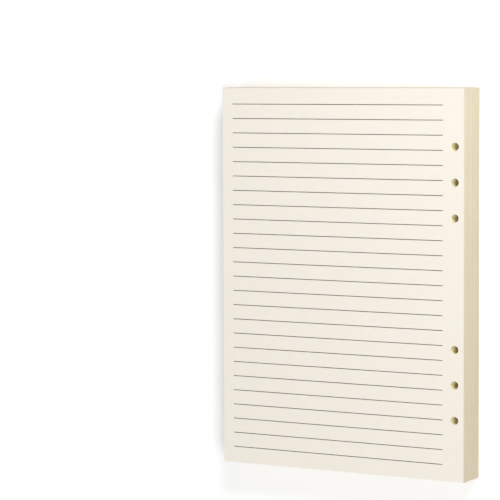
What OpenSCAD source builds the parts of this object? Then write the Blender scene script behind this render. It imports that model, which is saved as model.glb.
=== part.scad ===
// Binder refill pad: a squared-up block of loose ruled sheets, punched along the binding edge.
// The block lies flat. +Z is up through the sheets, +Y points to the head of the page, and +X to
// the punched binding edge. The origin is the middle of the underside.

/* [Sheet] */
// Width of a sheet, from the fore edge to the binding edge
sheet_w = 148; // [120:1:216]
// Height of a sheet, from foot to head
sheet_h = 210; // [185:1:297]
// Thickness of one sheet
sheet_t = 0.123; // [0.08:0.001:0.2]

/* [Block] */
// How many sheets lie in the block
sheet_count = 160; // [20:1:200]
// Sheets that were counted off and squared up together
bundle_size = 9; // [3:1:30]
// Most that a bundle strays from the block's true sides
bundle_stray = 0.12; // [0.01:0.01:0.3]
// Most that a sheet strays within its bundle
sheet_stray = 0.04; // [0.005:0.005:0.1]
// Which of the possible shuffles the block shows
shuffle = 11; // [1:1:99]

/* [Punching] */
// Diameter of a punched hole
hole_d = 4.5; // [4:0.1:6.5]
// Paper left between a hole and the binding edge
hole_land = 3.15; // [2:0.05:6]
// Holes in each of the two groups
group_holes = 3; // [1:1:3]
// Distance between the holes of a group
hole_pitch = 19; // [12:0.5:20]
// Distance between the nearest holes of the two groups
group_gap = 70; // [30:1:80]
// How far the middle of the row of holes lies above the middle of the page
hole_rise = 1; // [-3:0.5:3]

/* [Ruling] */
// Distance between ruled lines
line_pitch = 8; // [5:0.5:12]
// Width of a ruled line
line_w = 0.4; // [0.15:0.05:0.8]
// How deep the ink sinks into the sheet
ink_depth = 0.04; // [0.02:0.01:0.06]
// From the head of the page to the first line
head_margin = 9; // [5:0.5:30]
// Least paper left between the last line and the foot of the page
foot_margin = 8.5; // [4:0.5:30]
// From the fore edge to where the lines start
fore_margin = 6.6; // [3:0.1:25]
// From the holes to where the lines end
hole_margin = 4.8; // [1:0.1:20]

/* [Hidden] */

// The block
block_t = sheet_count * sheet_t;
bundle_count = ceil(sheet_count / bundle_size);
bundle_x = rands(-bundle_stray, bundle_stray, bundle_count, shuffle);
bundle_y = rands(-bundle_stray, bundle_stray, bundle_count, shuffle + 1);
sheet_x = rands(-sheet_stray, sheet_stray, sheet_count, shuffle + 2);
sheet_y = rands(-sheet_stray, sheet_stray, sheet_count, shuffle + 3);
stray_x = [for (i = [0 : sheet_count - 1]) bundle_x[floor(i / bundle_size)] + sheet_x[i]];
stray_y = [for (i = [0 : sheet_count - 1]) bundle_y[floor(i / bundle_size)] + sheet_y[i]];

// The row of holes
hole_x = sheet_w / 2 - hole_land - hole_d / 2;

// The ruling
line_start = -sheet_w / 2 + fore_margin;
line_end = hole_x - hole_d / 2 - hole_margin;
line_count = 1 + floor((sheet_h - head_margin - foot_margin) / line_pitch);

// How far a cutter runs past the face that it opens
past = 1;
// Sides of a round hole in the preview
$fn = 64;

// Outline of the block seen from one side, sheet by sheet up the right and down the left
function stepped(length, strays) = concat(
    [for (i = [0 : sheet_count - 1], face = [0, 1]) [strays[i] + length / 2, (i + face) * sheet_t]],
    [for (i = [sheet_count - 1 : -1 : 0], face = [1, 0]) [strays[i] - length / 2, (i + face) * sheet_t]]
);

// The sheets laid on each other: where the outline seen from the foot meets the one seen from the side
module squared_sheets() {
    intersection() {
        rotate([90, 0, 0])
            linear_extrude(height = 2 * sheet_h, center = true)
                polygon(stepped(sheet_w, stray_x));
        rotate([90, 0, 90])
            linear_extrude(height = 2 * sheet_w, center = true)
                polygon(stepped(sheet_h, stray_y));
    }
}

// Two groups of holes, the same above and below the middle of their row
module punching() {
    for (side = [-1, 1], i = [0 : group_holes - 1])
        translate([hole_x, hole_rise + side * (group_gap / 2 + i * hole_pitch), -past])
            cylinder(d = hole_d, h = block_t + 2 * past);
}

// The ruled lines of a page, from the head down, as bars between two heights
module lines(z_low, z_high) {
    for (i = [0 : line_count - 1])
        translate([line_start, sheet_h / 2 - head_margin - i * line_pitch - line_w / 2, z_low])
            cube([line_end - line_start, line_w, z_high - z_low]);
}

// All the sheets, with the holes through them and the ink's beds in the two outer pages
module sheet_stack() {
    color("#F7F0E4")
        difference() {
            squared_sheets();
            punching();
            lines(block_t - ink_depth, block_t + past);
            lines(-past, ink_depth);
        }
}

// The ink of the top page, level with the paper
module front_ruling() {
    color("#6B6863")
        lines(block_t - ink_depth, block_t);
}

// The ink of the bottom page, level with the paper
module back_ruling() {
    color("#6B6863")
        lines(0, ink_depth);
}

sheet_stack();
front_ruling();
back_ruling();
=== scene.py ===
"""Looks of a block of ruled refill paper that lies flat: cream pages, darker cut edges, printed lines."""
import math

import bpy
from mathutils import Matrix, Vector


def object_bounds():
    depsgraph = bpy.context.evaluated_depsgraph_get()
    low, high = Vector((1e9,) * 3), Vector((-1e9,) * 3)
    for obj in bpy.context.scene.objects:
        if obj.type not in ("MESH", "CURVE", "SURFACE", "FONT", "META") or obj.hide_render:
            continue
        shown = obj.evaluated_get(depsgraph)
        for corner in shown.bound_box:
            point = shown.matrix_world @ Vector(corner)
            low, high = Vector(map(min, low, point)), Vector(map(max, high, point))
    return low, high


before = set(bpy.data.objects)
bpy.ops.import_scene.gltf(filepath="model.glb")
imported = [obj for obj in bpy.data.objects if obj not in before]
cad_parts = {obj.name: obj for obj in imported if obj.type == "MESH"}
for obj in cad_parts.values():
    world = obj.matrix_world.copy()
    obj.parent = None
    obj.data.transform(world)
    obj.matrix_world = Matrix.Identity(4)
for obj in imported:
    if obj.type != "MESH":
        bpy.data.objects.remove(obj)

CAD_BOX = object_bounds()
MM = 0.001

# The sheets, as the block's construction has them
SHEETS = 160
BUNDLE = 9
SHEET_THICKNESS = (CAD_BOX[1].z - CAD_BOX[0].z) / SHEETS
PAGE_MIDDLE = Vector((0.0, 0.0, CAD_BOX[1].z))

# The photographer's camera, given from straight above the middle of the top page
PHOTO_PIXELS = 500
FOCAL_PIXELS = 2364
SENSOR_WIDTH = 36.0
TURN_TO_BINDING_EDGE = math.radians(30.01)
RISE_TO_HEAD = math.radians(4.44)
ROLL = math.radians(0.26)
DISTANCE = 1288.1 * MM
ASIDE = -49.1 * MM
ABOVE = 16.9 * MM

# Shares of the page's light: the even room, the window past the corner of head and binding edge, a fill lamp
# on the camera's side toward the foot, a low lamp at the binding edge, and a white board across from the window
ROOM_LIGHT = 0.29
WINDOW_LIGHT = 0.26
FILL_LIGHT = 0.31
EDGE_LIGHT = 0.028
BOARD_LIGHT = 0.1

# The width of the painted shade along the rim of a page, and how far inside the outline an upright face is the
# wall of a hole
RIM_SHADE_WIDTH = 0.35 * MM
HOLES_FROM = 1.5 * MM

# Streaks on the cut edges, by how many go to a metre along each axis
FIBRES = (15.0, 15.0, 9000.0)
KNIFE_MARKS = (1100.0, 1100.0, 25.0)

# How far the sheets' edges stand out beside the tooth of the paper, on the sides and in the holes
SIDE_NOTCH = 3.0
HOLE_NOTCH = 1.2

# The dull shine of uncoated paper, and of the ink that sank into it
PAPER_SHINE = 0.3

# The table, and its glow for the camera: dim close to the block, dimmer at the feet of the holes, full far off
TABLE_REACH = 4.0
TABLE_DROP = 0.05 * MM
TABLE_GLOW = 0.22
GLOW_DIM_TO = 0.3
GLOW_FULL_FROM = 1.2
HOLE_FOOT_GLOW = 0.6


def linear(red, green, blue):
    """A colour as a screen shows it, 0 to 255, turned into the light values that the shaders take."""
    def one(value):
        value = value / 255
        return value / 12.92 if value <= 0.04045 else ((value + 0.055) / 1.055) ** 2.4
    return (one(red), one(green), one(blue), 1.0)


PAGE_CREAM = linear(249, 243, 231)
PAGE_CLOUD = linear(246, 239, 226)
# Painted shade along the rim of a page, where the cut edge rolls over
PAGE_RIM_SHADE = linear(222, 211, 182)
EDGE_TAN = linear(225, 217, 197)
EDGE_ROSE = linear(227, 214, 199)
EDGE_DEEP = linear(214, 205, 180)
# Painted shade in the partings between sheets and bundles
EDGE_GAP_SHADE = linear(190, 177, 142)
# The cut edges in the holes: a lighter, yellower copy of the edge colours, painted light in the holes; their
# parting colour is painted shade lifted by painted light, and also tints the table's glow at the holes' feet
HOLE_PAINTED_LIGHT_PALE = linear(255, 250, 220)
HOLE_PAINTED_LIGHT_DEEP = linear(255, 247, 207)
HOLE_GAP_SHADE_AND_FOOT_GLOW = linear(234, 215, 160)
INK_DARK = linear(62, 44, 34)
INK_THIN = linear(98, 84, 74)
WHITE = linear(255, 255, 255)
TABLE_BOUNCE = linear(238, 237, 234)


class Tree:
    """Adds nodes to a material or a node group, and joins them up."""

    def __init__(self, nodes):
        self.tree = nodes

    def add(self, kind, **settings):
        """A new node, with its settings, and its inputs by name under the key inputs."""
        inputs = settings.pop("inputs", {})
        node = self.tree.nodes.new(kind)
        for name, value in settings.items():
            setattr(node, name, value)
        for name, value in inputs.items():
            if isinstance(value, bpy.types.NodeSocket):
                self.join(value, node.inputs[name])
            else:
                node.inputs[name].default_value = value
        return node

    def join(self, result, socket):
        """A link from a node's result to the input that takes it."""
        self.tree.links.new(result, socket)

    def math(self, kind, first, second=0.0):
        """The result of one step of arithmetic on one or two values or sockets."""
        return self.add("ShaderNodeMath", operation=kind, inputs={0: first, 1: second}).outputs[0]

    def spread(self, value, low, high, to_low=0.0, to_high=1.0):
        """A value mapped from one range to another, and held inside it."""
        inputs = {"Value": value, "From Min": low, "From Max": high, "To Min": to_low, "To Max": to_high}
        return self.add("ShaderNodeMapRange", inputs=inputs).outputs[0]

    def blend(self, share, first, second):
        """Two colours mixed by a share from 0 to 1."""
        inputs = {0: share, 6: first, 7: second}
        return self.add("ShaderNodeMix", data_type="RGBA", inputs=inputs).outputs[2]

    def coordinate(self, vector, axis):
        """One coordinate of a place or a direction."""
        return self.add("ShaderNodeSeparateXYZ", inputs={0: vector}).outputs[axis]

    def noise(self, dimensions="3D", **inputs):
        """Smooth noise, by the inputs that its node has."""
        return self.add("ShaderNodeTexNoise", noise_dimensions=dimensions, inputs=inputs).outputs["Fac"]


def new_group(name, inputs, outputs):
    """An empty shader node group with number inputs, given with their defaults, and number outputs."""
    group = bpy.data.node_groups.new(name, "ShaderNodeTree")
    for label, default in inputs.items():
        socket = group.interface.new_socket(name=label, in_out="INPUT", socket_type="NodeSocketFloat")
        socket.default_value = default
    for label in outputs:
        group.interface.new_socket(name=label, in_out="OUTPUT", socket_type="NodeSocketFloat")
    tree = Tree(group)
    return group, tree, tree.add("NodeGroupInput").outputs, tree.add("NodeGroupOutput").inputs


def paper_tooth_group():
    """The surface of uncoated paper: pressed fibres, a fine tooth, and the cloudiness of the pulp."""
    group, tree, given, out = new_group(
        "paper_tooth", {"Fibre Length": 1.4 * MM, "Cloud Size": 6.0 * MM}, ["Cloud", "Height"]
    )
    place = tree.add("ShaderNodeTexCoord").outputs["Object"]
    clouds = tree.math("DIVIDE", 1.0, given["Cloud Size"])
    cloud = tree.noise(Vector=place, Scale=clouds, Detail=4.0, Roughness=0.6)
    fibres = tree.math("DIVIDE", 1.0, given["Fibre Length"])
    wander = tree.noise(Vector=place, Scale=fibres, Detail=3.0, Distortion=2.5)
    grains = tree.math("DIVIDE", 6.0, given["Fibre Length"])
    tooth = tree.noise(Vector=place, Scale=grains, Detail=3.0, Distortion=1.0)
    ridge = tree.math("ABSOLUTE", tree.math("SUBTRACT", wander, 0.5))
    fibre = tree.spread(ridge, 0.0, 0.05, to_low=1.0, to_high=0.0)
    tree.join(tree.spread(cloud, 0.3, 0.7), out["Cloud"])
    tree.join(tree.math("ADD", tree.math("MULTIPLY", fibre, 0.35), tooth), out["Height"])
    return group


def random_by_number(tree, number):
    """A random value from 0 to 1 that stays the same for a whole number."""
    return tree.add("ShaderNodeTexWhiteNoise", noise_dimensions="1D", inputs={"W": number}).outputs["Value"]


def streaks(tree, place, per_metre):
    """Noise drawn out into streaks, by how fine it is along each axis."""
    place = tree.add("ShaderNodeMapping", inputs={"Vector": place, "Scale": per_metre}).outputs[0]
    return tree.noise(Vector=place, Scale=1.0, Detail=3.0)


def new_material(name):
    """A material with its tree, its Principled BSDF and nothing else."""
    material = bpy.data.materials.new(name)
    material.use_nodes = True
    tree = Tree(material.node_tree)
    return material, tree, material.node_tree.nodes["Principled BSDF"]


def cut_edge(tree, place):
    """Masks of the guillotined edges: each sheet's tone in its bundle, with fibres and knife marks, the warmth
    of its bundle, painted shade in the partings between sheets and bundles, and the height of a sheet's
    edge above them."""
    level = tree.math("DIVIDE", tree.coordinate(place, "Z"), SHEET_THICKNESS)
    bundle = tree.math("DIVIDE", level, BUNDLE)
    two_bundles = tree.math("DIVIDE", level, 2.0 * BUNDLE)
    tone = tree.math("MULTIPLY", random_by_number(tree, tree.math("FLOOR", level)), 0.3)
    bundle_tone = tree.noise("1D", W=bundle, Scale=0.8, Detail=2.0)
    fibres = streaks(tree, place, FIBRES)
    knife_marks = streaks(tree, place, KNIFE_MARKS)
    for share, part in ((0.4, bundle_tone), (0.2, fibres), (0.1, knife_marks)):
        tone = tree.math("ADD", tone, tree.math("MULTIPLY", share, part))
    warmth = tree.noise("1D", W=two_bundles, Scale=1.3, Detail=1.0)
    gap = tree.math("PINGPONG", level, 0.5)
    chance = random_by_number(tree, tree.math("ROUND", level))
    openness = tree.spread(chance, 0.4, 1.0, to_low=0.25, to_high=0.9)
    # Painted shade in the partings between sheets and bundles, darker at some bundle boundaries
    parting_shade = tree.spread(tree.math("PINGPONG", bundle, 0.5), 0.0, 0.08, to_low=0.6, to_high=0.0)
    parting_shade = tree.math("MULTIPLY", parting_shade, random_by_number(tree, tree.math("ROUND", bundle)))
    parting_shade = tree.math("MAXIMUM", parting_shade, tree.spread(gap, 0.0, 0.2, to_low=openness, to_high=0.0))
    return tree.spread(tone, 0.25, 0.75), tree.spread(warmth, 0.4, 0.6), parting_shade, gap


def inside_outline(tree, place, depth):
    """One where a point lies at least so deep inside the sheets' outline, and nought elsewhere."""
    inside = []
    for axis, edge in (("X", CAD_BOX[1].x), ("Y", CAD_BOX[1].y)):
        from_middle = tree.math("ABSOLUTE", tree.coordinate(place, axis))
        inside.append(tree.math("LESS_THAN", from_middle, edge - depth))
    return tree.math("MULTIPLY", *inside)


def outermost(tree, place):
    """One on the top page and the bottom page, and nought on the narrow ledges where a sheet sticks out."""
    half = CAD_BOX[1].z / 2
    from_middle = tree.math("ABSOLUTE", tree.math("SUBTRACT", tree.coordinate(place, "Z"), half))
    return tree.math("GREATER_THAN", from_middle, half - SHEET_THICKNESS / 2)


def paper_material(tooth_group):
    """Cream paper: the pages on the flat faces, the cut edges of the sheets on the sides and in the holes, with
    painted light on the walls of the holes and painted shade in the partings and along the pages' rims.
    """
    material, tree, surface = new_material("cream_paper")
    tooth = tree.add("ShaderNodeGroup", node_tree=tooth_group)
    where = tree.add("ShaderNodeTexCoord")
    place = where.outputs["Object"]
    flat = tree.spread(tree.math("ABSOLUTE", tree.coordinate(where.outputs["Normal"], "Z")), 0.4, 0.6)
    hole = tree.math("MULTIPLY", inside_outline(tree, place, HOLES_FROM), tree.math("SUBTRACT", 1.0, flat))
    tone, warmth, parting_shade, gap = cut_edge(tree, place)
    side = tree.blend(tone, EDGE_DEEP, tree.blend(warmth, EDGE_TAN, EDGE_ROSE))
    # Painted light: the walls of the holes take the lighter copy of the edge colours
    edge = tree.blend(hole, side, tree.blend(tone, HOLE_PAINTED_LIGHT_DEEP, HOLE_PAINTED_LIGHT_PALE))
    # Painted shade in the partings, lighter inside the holes
    edge = tree.blend(parting_shade, edge, tree.blend(hole, EDGE_GAP_SHADE, HOLE_GAP_SHADE_AND_FOOT_GLOW))
    page = tree.blend(tree.math("MULTIPLY", tooth.outputs["Cloud"], 0.5), PAGE_CREAM, PAGE_CLOUD)
    # Painted shade along the page's rim, where the cut edge rolls over
    rim_shade = tree.math("SUBTRACT", 1.0, inside_outline(tree, place, RIM_SHADE_WIDTH))
    page = tree.blend(tree.math("MULTIPLY", rim_shade, 0.4), page, PAGE_RIM_SHADE)
    is_page = tree.math("MULTIPLY", flat, outermost(tree, place))
    tree.join(tree.blend(is_page, edge, page), surface.inputs["Base Color"])
    rough = tree.spread(tooth.outputs["Height"], 0.2, 0.9, to_low=0.86, to_high=0.78)
    tree.join(rough, surface.inputs["Roughness"])
    notch = tree.math("MULTIPLY", gap, tree.spread(hole, 0.0, 1.0, to_low=SIDE_NOTCH, to_high=HOLE_NOTCH))
    height = tree.math("ADD", tooth.outputs["Height"], notch)
    bump = tree.add("ShaderNodeBump", inputs={"Height": height, "Distance": 0.03 * MM, "Strength": 0.6})
    tree.join(bump.outputs[0], surface.inputs["Normal"])
    surface.inputs["Specular IOR Level"].default_value = PAPER_SHINE
    return material


def ink_material(tooth_group):
    """Ruling ink that sank into the paper and is thinner where the tooth stands up."""
    material, tree, surface = new_material("ruling_ink")
    height = tree.add("ShaderNodeGroup", node_tree=tooth_group).outputs["Height"]
    thin = tree.spread(height, 0.55, 0.85, to_low=0.0, to_high=0.7)
    tree.join(tree.blend(thin, INK_DARK, INK_THIN), surface.inputs["Base Color"])
    bump = tree.add("ShaderNodeBump", inputs={"Height": height, "Distance": 0.02 * MM, "Strength": 0.4})
    tree.join(bump.outputs[0], surface.inputs["Normal"])
    surface.inputs["Roughness"].default_value = 0.62
    surface.inputs["Specular IOR Level"].default_value = PAPER_SHINE
    return material


def dress(node, material):
    """Gives a piece of the frame its material."""
    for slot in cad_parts[node].material_slots:
        slot.material = material


def seen_directly(tree):
    """One for the rays that show the surroundings in the picture, nought for the rays that only light it."""
    rays = tree.add("ShaderNodeLightPath").outputs
    mirrored = tree.math("MAXIMUM", rays["Is Glossy Ray"], rays["Is Transmission Ray"])
    return tree.math("MAXIMUM", rays["Is Camera Ray"], mirrored)


def table_material():
    """A white that glows for the camera, and only gives the lamps' light back to the block."""
    material, tree, surface = new_material("white_table")
    seen = seen_directly(tree)
    place = tree.add("ShaderNodeTexCoord").outputs["Object"]
    covered = inside_outline(tree, place, 0.0)
    away = tree.add("ShaderNodeVectorMath", operation="LENGTH", inputs={0: place}).outputs["Value"]
    glow = tree.spread(away, GLOW_DIM_TO, GLOW_FULL_FROM, to_low=TABLE_GLOW, to_high=1.0)
    glow = tree.math("MULTIPLY", glow, tree.spread(covered, 0.0, 1.0, to_low=1.0, to_high=HOLE_FOOT_GLOW))
    tree.join(tree.blend(seen, TABLE_BOUNCE, WHITE), surface.inputs["Base Color"])
    # Under the block the glow takes the holes' warm colour: painted light at the feet of the holes
    tree.join(tree.blend(covered, WHITE, HOLE_GAP_SHADE_AND_FOOT_GLOW), surface.inputs["Emission Color"])
    tree.join(tree.math("MULTIPLY", seen, glow), surface.inputs["Emission Strength"])
    surface.inputs["Roughness"].default_value = 0.9
    surface.inputs["Specular IOR Level"].default_value = 0.0
    return material


def make_floor():
    """The white table that the block lies on."""
    floor = bpy.data.meshes.new("white_table")
    corners = [(x * TABLE_REACH, y * TABLE_REACH, 0.0) for x, y in ((-1, -1), (1, -1), (1, 1), (-1, 1))]
    floor.from_pydata(corners, [], [(0, 1, 2, 3)])
    table = bpy.data.objects.new("white_table", floor)
    table.location.z = -TABLE_DROP
    bpy.context.scene.collection.objects.link(table)
    table.data.materials.append(table_material())


def add_softbox(name, place, face, share):
    """A flat square lamp turned to the page, as strong as its share of the light on the page asks."""
    lamp = bpy.data.lights.new(name, "AREA")
    lamp.size = face
    reach = PAGE_MIDDLE - Vector(place)
    lamp.energy = share * (math.pi * reach.length) ** 2 * reach.length / -reach.z
    holder = bpy.data.objects.new(name, lamp)
    holder.location = place
    holder.rotation_mode = "QUATERNION"
    holder.rotation_quaternion = reach.to_track_quat("-Z", "Y")
    holder.visible_camera = False
    bpy.context.scene.collection.objects.link(holder)


def light_the_studio():
    """A window past the corner of head and binding edge, softer light from the other sides, a pale room."""
    add_softbox("window_softbox", place=(0.42, 0.68, 0.62), face=0.34, share=WINDOW_LIGHT)
    add_softbox("fill_softbox", place=(1.15, -0.3, 1.5), face=0.8, share=FILL_LIGHT)
    add_softbox("edge_softbox", place=(0.42, 0.42, 0.09), face=0.1, share=EDGE_LIGHT)
    add_softbox("white_board", place=(-0.9, -0.9, 0.42), face=0.8, share=BOARD_LIGHT)
    world = bpy.data.worlds.new("pale_room")
    world.use_nodes = True
    tree = Tree(world.node_tree)
    background = world.node_tree.nodes["Background"]
    background.inputs["Color"].default_value = WHITE
    strength = tree.spread(seen_directly(tree), 0.0, 1.0, to_low=ROOM_LIGHT, to_high=1.0)
    tree.join(strength, background.inputs["Strength"])
    bpy.context.scene.world = world


def place_camera():
    """The camera of the photograph, moved with the block as it was laid down."""
    turn = (
        Matrix.Rotation(TURN_TO_BINDING_EDGE, 4, "Y")
        @ Matrix.Rotation(-RISE_TO_HEAD, 4, "X")
        @ Matrix.Rotation(-ROLL, 4, "Z")
    )
    lens = bpy.data.cameras.new("photo_camera")
    lens.sensor_width = SENSOR_WIDTH
    lens.lens = FOCAL_PIXELS / PHOTO_PIXELS * SENSOR_WIDTH
    camera = bpy.data.objects.new("photo_camera", lens)
    camera.matrix_world = Matrix.Translation(PAGE_MIDDLE + turn @ Vector((ASIDE, ABOVE, DISTANCE))) @ turn
    bpy.context.scene.collection.objects.link(camera)
    bpy.context.scene.camera = camera


bpy.context.scene.view_settings.view_transform = "Standard"
place_camera()
make_floor()
light_the_studio()
paper_tooth = paper_tooth_group()
dress("sheet_stack", paper_material(paper_tooth))
ink = ink_material(paper_tooth)
dress("front_ruling", ink)
dress("back_ruling", ink)
